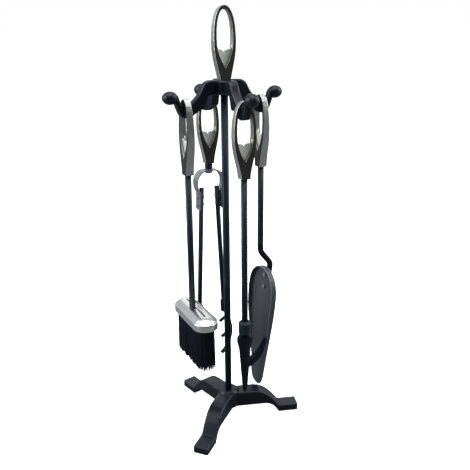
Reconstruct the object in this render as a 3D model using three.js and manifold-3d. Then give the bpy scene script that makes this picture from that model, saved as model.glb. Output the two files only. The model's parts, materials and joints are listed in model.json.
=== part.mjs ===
// Fireplace companion set: a cast tripod stand whose post carries four hook arms,
// with a brush, a poker, a shovel and spring tongs hung from them by loop handles.
// Millimetres, +Z up. Each tool is drawn in its own arm's frame: X is the distance
// out from the post's axis, Y runs across the arm and Z is the height over the floor.
import * as THREE from 'three';
import { mergeVertices } from 'three/addons/utils/BufferGeometryUtils.js';
import Module from 'manifold-3d';

const wasm = await Module();
wasm.setup();

// ---- driving sizes ----
const gap = 0.3;                 // clearance between two pieces that touch
const overallHeight = 650;       // floor to the top of the carrying handle
const postRadius = 5.4;
const studRadius = 3;            // threaded studs that join handles to what they hold
const studGrip = 12;             // length of stud inside each piece it joins

const legCount = 3;
const legTurn = 8;               // degrees from +X to the first leg
const legReach = 117;
const legWidth = 25;
const legTop = 44;               // height of a leg's upper face beside the hub
const legArch = 18;              // height of the hollow under the legs
const footLength = 33;
const footHeight = 12;
const baseHubRadius = 17;
const baseHubHeight = 48;
const spigotRadius = 4;          // turned-down ends of the post
const nutHeight = 6.5;
const nutAcrossFlats = 13;
const washerHeight = 2;
const washerRadius = 11;

const armTurn = 26;              // degrees from +X to the shovel's arm
const hubRadius = 14;
const hubHeight = 20;
const socketRadius = 10.5;       // recess in the hub that seats the carrying handle
const socketDepth = 8;
const armWidth = 13;
const saddleReach = 60;          // post axis to the middle of the saddle
const saddleDrop = 31;           // hub top down to the saddle
const saddleThickness = 18.5;
const knobOut = 23;              // middle of the saddle to the knob's centre
const knobDrop = 20.5;           // hub top down to the knob's centre
const knobLength = 23;
const knobWidth = 21;
const knobHeight = 18.6;
const spurLength = 19;           // pointed leaf under each arm
const spurReach = 32;

const handleLength = 108;
const handleWidth = 34.5;
const handleFootWidth = 14;
const handleDepthTop = 8.4;
const handleDepthFoot = 13.5;
const handleCrown = 5.2;         // thickness of the loop over the opening
const handleSide = 4.7;          // thickness of the loop at its widest
const bellyDrop = 47.5;          // handle's top down to its widest place
const openingBellyDrop = 43.2;   // handle's top down to the opening's widest place
const openingFoot = 46;          // handle's foot up to the opening's point
const grooveFoot = 24;           // handle's foot up to the groove's point
const webThickness = 4;          // metal left between the front and back grooves
const archRise = 2.7;            // the opening's arched crown over the saddle's flat

const shaftRadius = 4.8;

const brushBottom = 120;
const brushHeadBottom = 190;     // height of the rim
const brushHeadLength = 110;
const brushHeadWidth = 38;
const brushRim = 12;
const brushDome = 6;
const brushWall = 2.5;
const brushRecess = 8;
const bristleInset = 4.2;
const brushHang = -5;            // the head sits this far inboard of the saddle

const pokerTip = 74;
const pokerBodyTop = 178;
const pokerCollarHeight = 20;
const pokerCollarRadius = 9.5;
const pokerBodyHalf = 13;        // half width of the flattened forging
const pokerFlatness = 0.62;      // its thickness as a share of its width
const barbRoot = 118;
const barbTipHeight = 162;
const barbReach = 38;
const barbThickness = 7;

const panTop = 253;              // height of the back wall's crest
const panLength = 210;
const panWidth = 76;
const panNose = 40;              // width across the rounded nose
const panDepth = 9.5;            // height of the side walls
const panSheet = 2;
const panLean = 5;               // degrees, nose towards the post
const panOutset = 12;            // floor of the pan outside the saddle at the crest
const crankTop = 281;            // where the shaft starts to bend outwards
const shaftTail = 42;            // length of shaft lying on the back of the pan
const rivetRadius = 2;
const rivetHeadRadius = 3.6;
const rivetHeadHeight = 1.6;

const tongsCollarHeight = 9;
const tongsCollarRadius = 6.2;
const bowWidth = 48;
const bowHeight = 48;            // crown down to where the bow meets the legs
const bowSheet = 2;
const bowStrip = 17;
const bowTail = 19;              // flat end of the bow that lies along a leg
const tongsLegRadius = 3.8;
const tongsLegInset = 13;        // post-side distance of a leg's top from the middle
const tongsLegFoot = 22;         // the same where the leg enters its claw
const clawTop = 180;
const clawBottom = 83;
const clawBulge = 35;
const clawRadius = 3.4;
const clawOffset = 4.5;          // left and right fingers pass beside each other

// ---- places worked out from the sizes ----
const hubTop = overallHeight - handleLength + socketDepth;
const hubBottom = hubTop - hubHeight;
const socketFloor = hubTop - socketDepth;
const saddleHeight = hubTop - saddleDrop;
const knobReach = saddleReach + knobOut;
const knobHeightCentre = hubTop - knobDrop;
const toolHandleTop = saddleHeight + gap + archRise + handleCrown;
const toolHandleFoot = toolHandleTop - handleLength;
const radians = THREE.MathUtils.degToRad;

// ---- materials ----
const finish = (color, roughness, metalness) =>
  new THREE.MeshStandardMaterial({ color, roughness, metalness });
const blackPaint = finish(0x17181b, 0.42, 0.2);
const pewter = finish(0x8f9288, 0.4, 0.85);
const springSteel = finish(0x7b7f82, 0.38, 0.9);
const brightPlate = finish(0xd4d6d4, 0.14, 1.0);
const panSteel = finish(0x4a4e52, 0.5, 0.6);
const zincSteel = finish(0x9ea2a3, 0.45, 0.9);
const bristleFibre = finish(0x14161d, 0.85, 0.0);
const blockWood = finish(0x7a5a3c, 0.7, 0.0);

// ---- solids ----
function toSolid(geometry) {
  geometry.deleteAttribute('normal');
  geometry.deleteAttribute('uv');
  const merged = mergeVertices(geometry, 1e-4);
  const index = merged.index.array;
  const kept = [];
  for (let i = 0; i < index.length; i += 3) {
    const [a, b, c] = [index[i], index[i + 1], index[i + 2]];
    if (a !== b && b !== c && c !== a) kept.push(a, b, c);
  }
  const vertProperties = new Float32Array(merged.attributes.position.array);
  return new wasm.Manifold(new wasm.Mesh({
    numProp: 3, vertProperties, triVerts: new Uint32Array(kept),
  }));
}

function toMesh(name, solid, material) {
  const { vertProperties, triVerts } = solid.getMesh();
  const geometry = new THREE.BufferGeometry();
  geometry.setAttribute('position', new THREE.BufferAttribute(vertProperties, 3));
  geometry.setIndex(new THREE.BufferAttribute(triVerts, 1));
  geometry.computeVertexNormals();
  const mesh = new THREE.Mesh(geometry, material);
  mesh.name = name;
  return mesh;
}

const unite = (first, ...rest) => rest.reduce((sum, solid) => sum.add(solid), first);
const cut = (body, ...tools) => tools.reduce((left, tool) => left.subtract(tool), body);

// A profile of [radius, height] points from bottom to top, turned round the Z axis.
function turned(profile, sides = 24) {
  const points = profile.map(([radius, height]) => new THREE.Vector2(radius, height));
  return toSolid(new THREE.LatheGeometry(points, sides).rotateX(Math.PI / 2));
}

function rod(radius, bottom, top, x = 0, y = 0, sides = 20) {
  const height = top - bottom;
  const geometry = new THREE.CylinderGeometry(radius, radius, height, sides);
  return toSolid(geometry.rotateX(Math.PI / 2).translate(x, y, bottom + height / 2));
}

function extruded(shape, depth, bevel, curveSegments) {
  const geometry = new THREE.ExtrudeGeometry(shape, {
    depth: depth - 2 * bevel,
    bevelEnabled: bevel > 0,
    bevelThickness: bevel,
    bevelSize: bevel,
    bevelOffset: -bevel,
    bevelSegments: 2,
    curveSegments,
  });
  return geometry.translate(0, 0, bevel - depth / 2);
}

// A shape drawn as (x, z), given a width along Y.
const sideways = (shape, width, bevel = 0, curveSegments = 8) =>
  toSolid(extruded(shape, width, bevel, curveSegments).rotateX(Math.PI / 2));

// A shape drawn as (y, z), given a depth along X.
function facing(shape, depth, bevel = 0, curveSegments = 8) {
  const turn = new THREE.Matrix4().makeBasis(
    new THREE.Vector3(0, 1, 0), new THREE.Vector3(0, 0, 1), new THREE.Vector3(1, 0, 0));
  return toSolid(extruded(shape, depth, bevel, curveSegments).applyMatrix4(turn));
}

// A shape drawn as (x, y), standing on a height.
const standing = (shape, bottom, height, bevel = 0, curveSegments = 10) =>
  toSolid(extruded(shape, height, bevel, curveSegments).translate(0, 0, bottom + height / 2));

function tube(points, radius, sides = 10, steps = 16) {
  const path = new THREE.CatmullRomCurve3(points.map((p) => new THREE.Vector3(...p)), false,
    'centripetal');
  const section = new THREE.Shape();
  section.absarc(0, 0, radius, 0, Math.PI * 2);
  return toSolid(new THREE.ExtrudeGeometry(section, {
    extrudePath: path, steps, curveSegments: sides,
  }));
}

function stadium(length, width) {
  const reach = (length - width) / 2;
  const shape = new THREE.Shape();
  shape.absarc(0, reach, width / 2, 0, Math.PI);
  shape.absarc(0, -reach, width / 2, Math.PI, 2 * Math.PI);
  return shape;
}

// ---- stand ----
function legSolid(turn) {
  const footStart = legReach - footLength;
  const shape = new THREE.Shape();
  shape.moveTo(0, legArch);
  shape.lineTo(footStart * 0.72, legArch);
  shape.quadraticCurveTo(footStart * 0.9, legArch, footStart, 0);
  shape.lineTo(legReach, 0);
  shape.lineTo(legReach, footHeight);
  shape.lineTo(footStart + 2, footHeight);
  shape.bezierCurveTo(footStart - 12, footHeight + 18, footStart - 22, legTop, 40, legTop);
  shape.lineTo(0, legTop);
  return sideways(shape, legWidth, 1.5, 6).rotate([0, 0, turn]);
}

const spigotBore = spigotRadius + gap;
const nutBottom = legArch + 1.5;
const washerBottom = nutBottom + nutHeight + gap;
const recessTop = washerBottom + washerHeight + gap;

function makeBase() {
  const legs = [];
  for (let i = 0; i < legCount; i += 1) legs.push(legSolid(legTurn + (i * 360) / legCount));
  const hub = turned([
    [0, legArch], [baseHubRadius, legArch], [baseHubRadius, baseHubHeight - 3],
    [baseHubRadius - 3, baseHubHeight], [0, baseHubHeight],
  ], 32);
  const bore = rod(spigotBore, 0, baseHubHeight + 1);
  const recess = rod(washerRadius + 1, 0, recessTop);
  return cut(unite(hub, ...legs), bore, recess);
}

function makeNut() {
  const hexagon = nutAcrossFlats / Math.sqrt(3);
  const body = rod(hexagon, nutBottom, nutBottom + nutHeight, 0, 0, 6);
  return cut(body, rod(spigotBore, 0, legTop));
}

const makeWasher = () => cut(
  rod(washerRadius, washerBottom, washerBottom + washerHeight),
  rod(spigotBore, 0, legTop));

function makePost() {
  const top = socketFloor - gap;
  const body = turned([
    [0, nutBottom - 1], [spigotRadius, nutBottom - 1], [spigotRadius, baseHubHeight + gap],
    [postRadius, baseHubHeight + gap], [postRadius, hubBottom - gap],
    [spigotRadius, hubBottom - gap], [spigotRadius, top], [0, top],
  ]);
  return cut(body, rod(studRadius + gap, top - studGrip - gap, top + 1));
}

const makeTopStud = () => rod(studRadius, socketFloor - gap - studGrip, socketFloor + studGrip);

function makeHub() {
  const body = turned([
    [0, hubBottom], [hubRadius - 2, hubBottom], [hubRadius, hubBottom + 2],
    [hubRadius, hubTop - 2], [hubRadius - 2, hubTop], [0, hubTop],
  ]);
  return cut(body, rod(socketRadius, socketFloor, hubTop + 1),
    rod(spigotBore, hubBottom - 1, socketFloor + 1));
}

// The arm runs level from the hub, drops into the saddle and rises to its knob.
function armProfile() {
  const saddleBottom = saddleHeight - saddleThickness;
  const crest = hubTop + 1;
  const shape = new THREE.Shape();
  shape.moveTo(0, hubBottom);
  shape.lineTo(spurReach - 6, hubBottom);
  shape.lineTo(spurReach, hubBottom - spurLength);
  shape.lineTo(spurReach + 6, saddleHeight - 8);
  shape.bezierCurveTo(spurReach + 15, saddleBottom + 8, saddleReach - 10, saddleBottom,
    saddleReach, saddleBottom);
  shape.bezierCurveTo(saddleReach + 12, saddleBottom, saddleReach + 12, saddleBottom + 9,
    saddleReach + 17, knobHeightCentre - 8);
  shape.lineTo(knobReach, knobHeightCentre - 4);
  shape.lineTo(knobReach, knobHeightCentre + 4);
  shape.lineTo(saddleReach + 12, knobHeightCentre + 3);
  shape.quadraticCurveTo(saddleReach + 9, saddleHeight, saddleReach + 5, saddleHeight);
  shape.lineTo(saddleReach - 5, saddleHeight);
  shape.bezierCurveTo(saddleReach - 14, saddleHeight + 8, spurReach + 8, hubTop - 18,
    spurReach + 4, hubTop - 9);
  shape.quadraticCurveTo(spurReach, crest, spurReach - 10, crest);
  shape.lineTo(0, crest);
  return shape;
}

function makeArm() {
  const strap = sideways(armProfile(), armWidth, 2.5, 5);
  const knob = toSolid(new THREE.SphereGeometry(0.5, 16, 12)
    .rotateX(Math.PI / 2)
    .scale(knobLength, knobWidth, knobHeight)
    .translate(knobReach, 0, knobHeightCentre));
  const hubSpace = rod(hubRadius + gap, hubBottom - 10, hubTop + 10, 0, 0, 24);
  return cut(unite(strap, knob), hubSpace);
}

// ---- loop handle, drawn with its foot at height 0 ----
function loopOutline() {
  const half = handleWidth / 2;
  const foot = handleFootWidth / 2;
  const belly = handleLength - bellyDrop;
  const shape = new THREE.Shape();
  shape.moveTo(-foot, 0);
  shape.lineTo(foot, 0);
  shape.bezierCurveTo(foot + 1, 18, half, belly - 26, half, belly);
  shape.bezierCurveTo(half, belly + 30, half * 0.62, handleLength, 0, handleLength);
  shape.bezierCurveTo(-half * 0.62, handleLength, -half, belly + 30, -half, belly);
  shape.bezierCurveTo(-half, belly - 26, -foot - 1, 18, -foot, 0);
  return shape;
}

// The opening comes to a point at its foot; the groove below it is the same shape, longer.
function loopOpening(footHeight) {
  const half = handleWidth / 2 - handleSide;
  const belly = handleLength - openingBellyDrop;
  const top = handleLength - handleCrown;
  const shape = new THREE.Shape();
  shape.moveTo(0, footHeight);
  shape.bezierCurveTo(5, footHeight + 10, half, belly - 24, half, belly);
  shape.bezierCurveTo(half, belly + 24, half * 0.64, top, 0, top);
  shape.bezierCurveTo(-half * 0.64, top, -half, belly + 24, -half, belly);
  shape.bezierCurveTo(-half, belly - 24, -5, footHeight + 10, 0, footHeight);
  return shape;
}

function makeHandle() {
  const plate = facing(loopOutline(), handleDepthFoot + 2, 0, 7);
  const taper = new THREE.Shape();
  taper.moveTo(-handleDepthFoot / 2, 0);
  taper.lineTo(handleDepthFoot / 2, 0);
  taper.lineTo(handleDepthTop / 2, handleLength);
  taper.lineTo(-handleDepthTop / 2, handleLength);
  const opening = facing(loopOpening(openingFoot), 2 * handleDepthFoot, 0, 6);
  const groove = facing(loopOpening(grooveFoot), handleDepthFoot, 0, 6);
  const grooveShift = (webThickness + handleDepthFoot) / 2;
  const boreTop = studGrip + gap;
  return cut(plate.intersect(sideways(taper, handleWidth + 2)),
    opening, groove.translate([grooveShift, 0, 0]), groove.translate([-grooveShift, 0, 0]),
    rod(studRadius + gap, -1, boreTop));
}

const handleSolid = makeHandle();
const toolHandle = () => handleSolid.translate([saddleReach, 0, toolHandleFoot]);

// A straight shaft under a tool handle, with a stud turned on its top end.
function shaftFrom(bottom) {
  const seat = toolHandleFoot - gap;
  const body = turned([
    [0, bottom], [shaftRadius, bottom], [shaftRadius, seat], [studRadius, seat],
    [studRadius, toolHandleFoot + studGrip], [0, toolHandleFoot + studGrip],
  ], 20);
  return body.translate([saddleReach, 0, 0]);
}

// ---- brush ----
const brushX = saddleReach + brushHang;

function makeBrushHead() {
  const outer = standing(stadium(brushHeadLength, brushHeadWidth), brushHeadBottom, brushRim);
  const crownLength = brushHeadLength - 2;
  const crown = standing(stadium(crownLength, brushHeadWidth - 2), brushHeadBottom,
    brushRim + brushDome, brushDome - 0.5);
  const hollow = stadium(brushHeadLength - 2 * brushWall, brushHeadWidth - 2 * brushWall);
  const recess = standing(hollow, brushHeadBottom - 1, brushRecess + 1);
  const stud = rod(studRadius + gap, brushHeadBottom + brushRecess - 1,
    brushHeadBottom + brushRim + brushDome + 1, -brushHang, 0);
  return cut(unite(outer, crown), recess, stud).translate([brushX, 0, 0]);
}

function makeBrushShaft() {
  const seat = brushHeadBottom + brushRim + brushDome + gap;
  const stud = rod(studRadius, brushHeadBottom + brushRecess + gap, seat + 1, saddleReach, 0);
  return unite(shaftFrom(seat), stud);
}

function makeBrushBlock() {
  const inset = 2 * (brushWall + gap);
  const shape = stadium(brushHeadLength - inset, brushHeadWidth - inset);
  return standing(shape, brushHeadBottom + 1, brushRecess - 1 - gap).translate([brushX, 0, 0]);
}

function makeBristles() {
  const inset = 2 * bristleInset;
  const shape = stadium(brushHeadLength - inset, brushHeadWidth - inset);
  const height = brushHeadBottom + 1 - gap - brushBottom;
  return standing(shape, brushBottom, height).translate([brushX, 0, 0]);
}

// ---- poker ----
const pokerPointProfile = (grow) => [
  [0, pokerTip - grow], [3.4 + grow, pokerTip + 2 - grow], [5 + grow, pokerTip + 16],
  [7.6 + grow, barbRoot + 4], [9.8 + grow, pokerBodyTop - 26],
  [pokerBodyHalf + grow, pokerBodyTop - 13], [pokerBodyHalf + grow, pokerBodyTop - 6],
  [9 + grow, pokerBodyTop], [0, pokerBodyTop],
];
const pokerForging = (grow) =>
  turned(pokerPointProfile(grow), 20).scale([pokerFlatness, 1, 1]);

function makePokerPoint() {
  const bore = rod(studRadius + gap, pokerBodyTop - studGrip - gap, pokerBodyTop + 1);
  return cut(pokerForging(0), bore).translate([saddleReach, 0, 0]);
}

function makePokerShaft() {
  const seat = pokerBodyTop + gap;
  const stud = rod(studRadius, pokerBodyTop - studGrip, seat + 1, saddleReach, 0);
  return unite(shaftFrom(seat), stud);
}

function makePokerCollar() {
  const bottom = pokerBodyTop + 0.6;
  const top = bottom + pokerCollarHeight;
  const body = turned([
    [0, bottom], [pokerCollarRadius, bottom], [pokerCollarRadius, top - 3],
    [pokerCollarRadius - 3, top], [0, top],
  ]);
  return cut(body, rod(shaftRadius + gap, bottom - 1, top + 1)).translate([saddleReach, 0, 0]);
}

function makePokerBarb() {
  const shape = new THREE.Shape();
  shape.moveTo(2, barbRoot);
  shape.bezierCurveTo(18, barbRoot + 2, barbReach - 4, barbRoot + 16, barbReach, barbTipHeight);
  shape.lineTo(barbReach - 2.5, barbTipHeight);
  shape.bezierCurveTo(barbReach - 12, barbRoot + 28, 20, barbRoot + 16, 2, barbRoot + 15);
  const barb = facing(shape, barbThickness, 0, 10);
  return cut(barb, pokerForging(gap)).translate([saddleReach, 0, 0]);
}

// ---- shovel: the pan is drawn flat, crest up, its floor at x = 0, walls towards -X ----
function panOutline(inset) {
  const half = panWidth / 2 - inset;
  const nose = panNose / 2 - inset;
  const top = -inset;
  const bottom = -panLength + inset;
  const shape = new THREE.Shape();
  shape.moveTo(0, bottom);
  shape.bezierCurveTo(nose * 0.8, bottom, nose, bottom + 12, nose + 1.5, bottom + 30);
  shape.bezierCurveTo(nose + 8, bottom + 80, half, -82, half, -44);
  shape.bezierCurveTo(half, -16, half * 0.55, top, 0, top);
  shape.bezierCurveTo(-half * 0.55, top, -half, -16, -half, -44);
  shape.bezierCurveTo(-half, -82, -nose - 8, bottom + 80, -nose - 1.5, bottom + 30);
  shape.bezierCurveTo(-nose, bottom + 12, -nose * 0.8, bottom, 0, bottom);
  return shape;
}

const rivetDrops = [14, 34];     // distances of the rivets below the pan's crest
const panTurn = [0, panLean, 0];
const panPlace = [saddleReach + panOutset, 0, panTop];
const placePan = (solid) => solid.rotate(panTurn).translate(panPlace);
const rivetShank = (drop, radius, length) => {
  const geometry = new THREE.CylinderGeometry(radius, radius, length, 12);
  return toSolid(geometry.rotateZ(Math.PI / 2).translate(0, 0, -drop));
};

function makePan() {
  const block = facing(panOutline(0), panDepth, 0, 7).translate([-panDepth / 2, 0, 0]);
  const hollow = facing(panOutline(panSheet), panDepth, 0, 7)
    .translate([-panDepth / 2 - panSheet, 0, 0]);
  const envelope = new THREE.Shape();
  envelope.moveTo(1, 1);
  envelope.lineTo(-panDepth - 1, 1);
  envelope.lineTo(-panDepth, -panLength * 0.35);
  envelope.lineTo(-panSheet, -panLength * 0.8);
  envelope.lineTo(-panSheet, -panLength - 1);
  envelope.lineTo(1, -panLength - 1);
  const holes = rivetDrops.map((drop) => rivetShank(drop, rivetRadius + gap, 2 * panDepth));
  return placePan(cut(block.intersect(sideways(envelope, panWidth + 2)).subtract(hollow),
    ...holes));
}

const shaftStandoff = shaftRadius + gap;

function makeShovelShaft() {
  const lean = radians(panLean);
  const onPan = (drop) => [
    saddleReach + panOutset + shaftStandoff * Math.cos(lean) - drop * Math.sin(lean), 0,
    panTop - shaftStandoff * Math.sin(lean) - drop * Math.cos(lean),
  ];
  const bend = tube([
    [saddleReach, 0, crankTop + 22], [saddleReach, 0, crankTop + 8],
    [saddleReach + 1, 0, crankTop], onPan(-5), onPan(4), onPan(shaftTail / 2),
    onPan(shaftTail),
  ], shaftRadius, 10, 28);
  const holes = rivetDrops.map((drop) =>
    placePan(rivetShank(drop, rivetRadius + gap, 6 * shaftRadius)));
  return cut(unite(shaftFrom(crankTop + 21), bend), ...holes);
}

function makePanRivet(drop) {
  const inside = panSheet + gap + rivetHeadHeight / 2;
  const end = shaftStandoff + shaftRadius;
  const shank = rivetShank(drop, rivetRadius, end + panSheet + gap + 1)
    .translate([(end - panSheet - gap - 1) / 2, 0, 0]);
  const head = rivetShank(drop, rivetHeadRadius, rivetHeadHeight).translate([-inside, 0, 0]);
  return placePan(unite(shank, head));
}

// ---- tongs ----
const collarTop = toolHandleFoot - gap;
const crownTop = collarTop - tongsCollarHeight - gap;

function makeTongsCollar() {
  const bottom = collarTop - tongsCollarHeight;
  const body = turned([
    [0, bottom], [tongsCollarRadius - 1.5, bottom], [tongsCollarRadius, bottom + 2],
    [tongsCollarRadius, collarTop], [0, collarTop],
  ], 20);
  return cut(body, rod(studRadius + gap, bottom - 1, collarTop + 1))
    .translate([saddleReach, 0, 0]);
}

const tailTopHeight = crownTop - bowHeight + bowTail;
const legSlope = (tongsLegFoot - tongsLegInset) / (tailTopHeight - clawTop);
const legOffset = (height) => tongsLegInset + (tailTopHeight - height) * legSlope;

// The bow is one flat strip: an outline on its outer face and the same one a sheet inside it.
function bowOutline(inset) {
  const half = bowWidth / 2 - inset;
  const top = crownTop - inset;
  const tailBottom = crownTop - bowHeight - 16 - inset;
  const tailTop = tailTopHeight - 10;
  const lay = tongsLegRadius + gap + bowSheet - inset;
  const waistLow = legOffset(tailBottom) + lay;
  const waistHigh = legOffset(tailTop) + lay;
  const shape = new THREE.Shape();
  shape.moveTo(-waistLow, tailBottom);
  shape.lineTo(waistLow, tailBottom);
  shape.lineTo(waistHigh, tailTop);
  shape.bezierCurveTo(waistHigh, tailTop + 6, half, tailTop + 6, half, tailTop + 20);
  shape.bezierCurveTo(half, top - 8, half - 8, top, tongsCollarRadius, top);
  shape.lineTo(-tongsCollarRadius, top);
  shape.bezierCurveTo(-half + 8, top, -half, top - 8, -half, tailTop + 20);
  shape.bezierCurveTo(-half, tailTop + 6, -waistHigh, tailTop + 6, -waistHigh, tailTop);
  return shape;
}

const legRivetHeights = [tailTopHeight - 15, crownTop - bowHeight - 8];
const acrossLeg = (height, radius, side, from, to) => {
  const geometry = new THREE.CylinderGeometry(radius, radius, to - from, 12);
  return toSolid(geometry.translate(saddleReach, side * (from + to) / 2, height));
};

function makeBow() {
  const outer = facing(bowOutline(0), bowStrip, 0, 8);
  const inner = facing(bowOutline(bowSheet), 2 * bowStrip, 0, 8);
  const holes = [-1, 1].flatMap((side) => legRivetHeights.map((height) =>
    acrossLeg(height, rivetRadius + gap, side, 0, bowWidth)));
  return cut(outer.subtract(inner).translate([saddleReach, 0, 0]),
    rod(studRadius + gap, crownTop - 10, crownTop + 1, saddleReach, 0), ...holes);
}

function makeTongsStud() {
  const headTop = crownTop - bowSheet - gap;
  return turned([
    [0, headTop - 4], [5, headTop - 4], [6, headTop - 2.5], [6, headTop],
    [studRadius, headTop], [studRadius, toolHandleFoot + studGrip],
    [0, toolHandleFoot + studGrip],
  ], 16).translate([saddleReach, 0, 0]);
}

function makeTongsLeg(side) {
  const top = tailTopHeight;
  const leg = tube([
    [saddleReach, side * legOffset(top), top],
    [saddleReach, side * legOffset((top + clawTop) / 2), (top + clawTop) / 2],
    [saddleReach, side * legOffset(clawTop - 12), clawTop - 12],
  ], tongsLegRadius, 8, 2);
  const holes = legRivetHeights.map((height) =>
    acrossLeg(height, rivetRadius + gap, side, 0, bowWidth));
  return cut(leg, ...holes);
}

function makeLegRivet(side, height) {
  const middle = legOffset(height);
  const outside = middle + tongsLegRadius + bowSheet + 2 * gap;
  const inside = middle - tongsLegRadius - gap;
  return unite(
    acrossLeg(height, rivetRadius, side, inside - 0.5, outside + 0.5),
    acrossLeg(height, rivetHeadRadius - 0.6, side, outside, outside + rivetHeadHeight));
}

// A socket on the leg, a back bar that bulges outwards and three fingers that curl in.
function makeClaw(side) {
  const at = (y, z, x = 0) => [saddleReach + x, side * y, z];
  const foot = legOffset(clawTop);
  const shift = side * clawOffset;
  const socket = tube([at(foot, clawTop), at(foot + 0.4, clawTop - 10), at(foot + 1, clawTop - 20)],
    tongsLegRadius + 2, 10, 4);
  const back = tube([
    at(foot + 1, clawTop - 17), at(clawBulge - 4, clawTop - 36),
    at(clawBulge, (clawTop + clawBottom) / 2 - 12), at(clawBulge - 8, clawBottom + 8),
    at(clawBulge - 20, clawBottom, shift),
  ], clawRadius, 8, 14);
  const finger = (root, height, reach) => tube([
    at(root, height + 2), at((root + reach) / 2, height, shift * 0.7),
    at(reach, height - 4, shift),
  ], clawRadius - 0.5, 8, 6);
  const bore = tube([at(foot - 1, clawTop + 22), at(foot, clawTop), at(foot + 0.5, clawTop - 12.3)],
    tongsLegRadius + gap, 10, 4);
  return cut(unite(socket, back, finger(clawBulge - 6, clawTop - 32, 12),
    finger(clawBulge - 1, clawTop - 62, 15)), bore);
}

// ---- assembly ----
const set = new THREE.Group();

const stand = new THREE.Group();
stand.add(
  toMesh('tripod_base', makeBase(), blackPaint),
  toMesh('base_washer', makeWasher(), zincSteel),
  toMesh('base_nut', makeNut(), zincSteel),
  toMesh('post', makePost(), blackPaint),
  toMesh('hook_hub', makeHub(), blackPaint),
  toMesh('top_stud', makeTopStud(), zincSteel));
const carry = new THREE.Group();
carry.rotation.z = radians(armTurn - 90);
carry.position.z = socketFloor + gap;
carry.add(toMesh('top_handle', handleSolid, pewter));
stand.add(carry);
set.add(stand);

const armSolid = makeArm();

// Every arm's group holds its hook arm and the tool that hangs on it.
function station(name, quarter, pieces) {
  const group = new THREE.Group();
  group.rotation.z = radians(armTurn + 90 * quarter);
  group.add(toMesh(`hook_arm_${name}`, armSolid, blackPaint));
  group.add(toMesh(`${name}_handle`, toolHandle(), pewter));
  pieces.forEach(([piece, solid, material]) =>
    group.add(toMesh(`${name}_${piece}`, solid, material)));
  set.add(group);
}

station('shovel', 0, [
  ['shaft', makeShovelShaft(), blackPaint],
  ['pan', makePan(), panSteel],
  ['rivet_upper', makePanRivet(rivetDrops[0]), zincSteel],
  ['rivet_lower', makePanRivet(rivetDrops[1]), zincSteel],
]);
station('tongs', 1, [
  ['stud', makeTongsStud(), zincSteel],
  ['collar', makeTongsCollar(), blackPaint],
  ['bow', makeBow(), springSteel],
  ...[['left', 1], ['right', -1]].flatMap(([name, side]) => [
    [`leg_${name}`, makeTongsLeg(side), blackPaint],
    [`rivet_upper_${name}`, makeLegRivet(side, legRivetHeights[0]), zincSteel],
    [`rivet_lower_${name}`, makeLegRivet(side, legRivetHeights[1]), zincSteel],
    [`claw_${name}`, makeClaw(side), blackPaint],
  ]),
]);
station('brush', 2, [
  ['shaft', makeBrushShaft(), blackPaint],
  ['head', makeBrushHead(), brightPlate],
  ['block', makeBrushBlock(), blockWood],
  ['bristles', makeBristles(), bristleFibre],
]);
station('poker', 3, [
  ['shaft', makePokerShaft(), blackPaint],
  ['collar', makePokerCollar(), blackPaint],
  ['point', makePokerPoint(), blackPaint],
  ['barb', makePokerBarb(), blackPaint],
]);

// The set's origin is the middle of its footprint, on the floor.
set.updateMatrixWorld(true);
const box = new THREE.Box3().setFromObject(set, true);
const group = new THREE.Group();
set.position.set(-(box.min.x + box.max.x) / 2, -(box.min.y + box.max.y) / 2, -box.min.z);
group.add(set);

export default group;
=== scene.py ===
"""Fireplace tool set: a cast tripod stand with four tools hung on its hook arms, finished piece by piece."""

import json
import math
import random

import bmesh
import bpy
import numpy as np
from mathutils import Matrix, Vector


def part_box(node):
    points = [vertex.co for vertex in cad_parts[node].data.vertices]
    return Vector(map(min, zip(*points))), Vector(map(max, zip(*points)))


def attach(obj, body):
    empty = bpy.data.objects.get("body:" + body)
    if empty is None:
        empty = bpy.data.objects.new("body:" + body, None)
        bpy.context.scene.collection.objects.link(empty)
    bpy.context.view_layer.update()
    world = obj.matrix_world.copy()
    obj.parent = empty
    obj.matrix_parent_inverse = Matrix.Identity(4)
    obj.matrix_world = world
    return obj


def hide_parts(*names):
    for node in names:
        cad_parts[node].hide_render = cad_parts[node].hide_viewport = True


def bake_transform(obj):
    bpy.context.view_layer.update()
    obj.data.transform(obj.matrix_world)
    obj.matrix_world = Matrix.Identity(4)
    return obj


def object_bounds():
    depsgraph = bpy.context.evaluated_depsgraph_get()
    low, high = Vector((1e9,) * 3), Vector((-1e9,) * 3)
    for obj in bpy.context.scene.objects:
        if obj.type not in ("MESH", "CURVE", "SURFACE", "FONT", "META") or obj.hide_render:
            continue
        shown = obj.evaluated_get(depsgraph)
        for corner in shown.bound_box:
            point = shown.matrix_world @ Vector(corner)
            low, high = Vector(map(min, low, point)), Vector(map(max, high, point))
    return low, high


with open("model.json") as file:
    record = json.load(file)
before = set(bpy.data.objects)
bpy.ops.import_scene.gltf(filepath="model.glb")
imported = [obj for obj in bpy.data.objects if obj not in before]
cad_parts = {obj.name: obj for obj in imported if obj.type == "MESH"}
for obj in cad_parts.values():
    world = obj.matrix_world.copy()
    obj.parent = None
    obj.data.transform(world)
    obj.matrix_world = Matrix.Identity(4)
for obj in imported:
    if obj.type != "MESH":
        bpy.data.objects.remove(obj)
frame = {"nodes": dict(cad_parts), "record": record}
CAD_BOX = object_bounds()

bl_info = {
    "name": "Fireplace Tool Set",
    "version": (1, 0, 0),
    "blender": (4, 5, 0),
    "location": "View3D > Sidebar > Hearth",
    "description": "Makes the stand, its four loop-handled tools and their finishes",
    "category": "Object",
}

MM = 0.001
BEHAVIOUR = frame["record"]["behaviour"]
BODY_OF = {node: body for body, nodes in BEHAVIOUR["bodies"].items() for node in nodes}
HANDLES = ("top_handle", "shovel_handle", "tongs_handle", "brush_handle", "poker_handle")
HOOK_ARMS = ("hook_arm_shovel", "hook_arm_tongs", "hook_arm_brush", "hook_arm_poker")

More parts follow.
